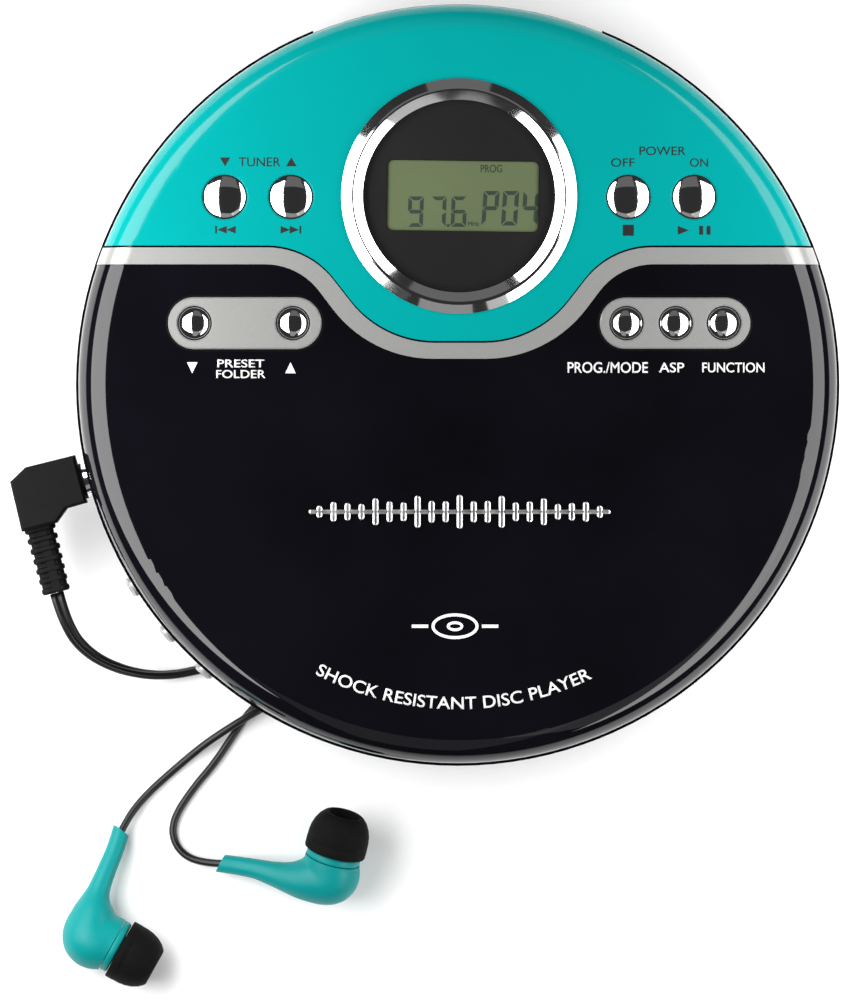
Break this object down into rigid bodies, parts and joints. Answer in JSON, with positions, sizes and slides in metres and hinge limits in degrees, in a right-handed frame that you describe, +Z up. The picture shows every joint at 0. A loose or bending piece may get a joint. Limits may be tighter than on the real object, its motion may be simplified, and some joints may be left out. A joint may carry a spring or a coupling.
{
  "type": "portable cd player",
  "caption": "Round portable disc player with a hinged two-tone lid, round display, chrome push buttons, pickup drive, and plugged-in corded earphones.",
  "frame": {"origin": "on the surface the feet stand on, under the middle of the round body", "axes": "X right, Y towards the lid hinge, Z up; the display and buttons face +Z"},
  "size_m": [0.1521, 0.181, 0.032],
  "materials": {
    "teal_gloss": "gloss",
    "black_gloss": "gloss",
    "silver_paint": "satin",
    "chrome_trim": "mirror",
    "lens_black": "gloss",
    "lcd_glass": "satin",
    "black_matte": "satin",
    "dark_well": "satin",
    "rubber_black": "matte",
    "steel": "satin",
    "circuit_green": "satin",
    "cell_wrap": "gloss",
    "white_plastic": "satin",
    "tan_ribbon": "satin",
    "cord_black": "satin",
    "brass_plate": "gloss"
  },
  "bodies": {
    "base": {"base_shell": "black_gloss", "deck_plate": "dark_well", "rubber_feet": "rubber_black", "case_screws": "steel", "aa_cells": "cell_wrap", "battery_contacts": "steel", "main_board": "circuit_green", "headphone_jack": "chrome_trim", "dc_jack": "black_matte", "side_switches": "white_plastic", "lid_switch": "white_plastic", "mech_frame": "steel", "mech_dampers": "rubber_black", "spindle_motor": "steel", "sled_motor": "steel", "guide_rods": "chrome_trim", "hinge_pins": "steel", "latch_spring": "steel", "ribbon_cable": "tan_ribbon", "plug_housing": "black_matte", "plug_pin": "chrome_trim", "cable_main": "cord_black", "cable_hank": "cord_black", "cable_split": "black_matte", "lead_left": "cord_black", "lead_left_hank": "cord_black", "lead_right": "cord_black", "lead_right_hank": "cord_black", "earbud_shells": "teal_gloss", "ear_tips": "rubber_black"},
    "lid": {"lid_rear_cover": "teal_gloss", "lid_front_cover": "black_gloss", "trim_band": "silver_paint", "button_plates": "silver_paint", "display_ring": "chrome_trim", "display_window": "lens_black", "lcd_module": "lcd_glass", "lid_inner_panel": "dark_well", "lid_screws": "steel", "lid_board": "circuit_green", "badge": "chrome_trim"},
    "skip_back_button": {"skip_back_button": "chrome_trim"},
    "skip_forward_button": {"skip_forward_button": "chrome_trim"},
    "stop_button": {"stop_button": "chrome_trim"},
    "play_button": {"play_button": "chrome_trim"},
    "preset_down_button": {"preset_down_button": "chrome_trim"},
    "preset_up_button": {"preset_up_button": "chrome_trim"},
    "mode_button": {"mode_button": "chrome_trim"},
    "anti_skip_button": {"anti_skip_button": "chrome_trim"},
    "function_button": {"function_button": "chrome_trim"},
    "volume_down_button": {"volume_down_button": "silver_paint"},
    "volume_up_button": {"volume_up_button": "silver_paint"},
    "bass_button": {"bass_button": "silver_paint"},
    "open_button": {"open_button": "black_gloss"},
    "battery_door": {"battery_door": "black_matte"},
    "turntable": {"turntable": "black_matte"},
    "pickup_sled": {"pickup_sled": "black_matte"},
    "pickup_lens": {"pickup_lens": "lcd_glass"},
    "sled_gear": {"sled_gear": "white_plastic"},
    "motor_pinion": {"motor_pinion": "brass_plate"}
  },
  "joints": [
    {"name": "lid_hinge", "type": "hinge", "parent": "base", "child": "lid", "pos_m": [0, 0.0665, 0.0186], "axis": [-1, 0, 0], "range_deg": [0, 75], "deforming": ["ribbon_cable"]},
    {"name": "skip_back_button_press", "type": "slide", "parent": "lid", "child": "skip_back_button", "axis": [0, 0, -1], "range_m": [0, 0.0005], "stiffness_N_per_m": 200},
    {"name": "skip_forward_button_press", "type": "slide", "parent": "lid", "child": "skip_forward_button", "axis": [0, 0, -1], "range_m": [0, 0.0005], "stiffness_N_per_m": 200},
    {"name": "stop_button_press", "type": "slide", "parent": "lid", "child": "stop_button", "axis": [0, 0, -1], "range_m": [0, 0.0005], "stiffness_N_per_m": 200},
    {"name": "play_button_press", "type": "slide", "parent": "lid", "child": "play_button", "axis": [0, 0, -1], "range_m": [0, 0.0005], "stiffness_N_per_m": 200},
    {"name": "preset_down_button_press", "type": "slide", "parent": "lid", "child": "preset_down_button", "axis": [0, 0, -1], "range_m": [0, 0.0005], "stiffness_N_per_m": 200},
    {"name": "preset_up_button_press", "type": "slide", "parent": "lid", "child": "preset_up_button", "axis": [0, 0, -1], "range_m": [0, 0.0005], "stiffness_N_per_m": 200},
    {"name": "mode_button_press", "type": "slide", "parent": "lid", "child": "mode_button", "axis": [0, 0, -1], "range_m": [0, 0.0005], "stiffness_N_per_m": 200},
    {"name": "anti_skip_button_press", "type": "slide", "parent": "lid", "child": "anti_skip_button", "axis": [0, 0, -1], "range_m": [0, 0.0005], "stiffness_N_per_m": 200},
    {"name": "function_button_press", "type": "slide", "parent": "lid", "child": "function_button", "axis": [0, 0, -1], "range_m": [0, 0.0005], "stiffness_N_per_m": 200},
    {"name": "volume_down_button_press", "type": "slide", "parent": "base", "child": "volume_down_button", "axis": [0.848, 0.5299, 0], "range_m": [0, 0.0005], "stiffness_N_per_m": 200},
    {"name": "volume_up_button_press", "type": "slide", "parent": "base", "child": "volume_up_button", "axis": [0.7581, 0.6521, 0], "range_m": [0, 0.0005], "stiffness_N_per_m": 200},
    {"name": "bass_button_press", "type": "slide", "parent": "base", "child": "bass_button", "axis": [0.6626, 0.749, 0], "range_m": [0, 0.0005], "stiffness_N_per_m": 200},
    {"name": "open_button_press", "type": "slide", "parent": "base", "child": "open_button", "axis": [0, 1, 0], "range_m": [0, 0.0012], "stiffness_N_per_m": 250, "deforming": ["latch_spring"]},
    {"name": "battery_door_hinge", "type": "hinge", "parent": "base", "child": "battery_door", "pos_m": [0, 0.0112, 0.00275], "axis": [-1, 0, 0], "range_deg": [0, 85]},
    {"name": "turntable_spin", "type": "hinge", "parent": "base", "child": "turntable", "pos_m": [0, 0, 0.02], "axis": [0, 0, -1], "continuous": true},
    {"name": "sled_travel", "type": "slide", "parent": "base", "child": "pickup_sled", "axis": [0, -1, 0], "range_m": [0, 0.031]},
    {"name": "lens_focus", "type": "slide", "parent": "pickup_sled", "child": "pickup_lens", "axis": [0, 0, 1], "range_m": [-0.0003, 0.0003], "stiffness_N_per_m": 20},
    {"name": "sled_gear_turn", "type": "hinge", "parent": "base", "child": "sled_gear", "pos_m": [0.0218, -0.026, 0.013], "axis": [0, 0, 1], "range_deg": [-0.5, 444.54]},
    {"name": "motor_pinion_turn", "type": "hinge", "parent": "base", "child": "motor_pinion", "pos_m": [0.02706, -0.02982, 0.014], "axis": [0, 0, 1], "range_deg": [-1481.14, 1]}
  ],
  "couplings": [
    {"joint": "sled_gear_turn", "follows": "sled_travel", "rad_per_m": 250},
    {"joint": "motor_pinion_turn", "follows": "sled_travel", "rad_per_m": -833.33}
  ]
}
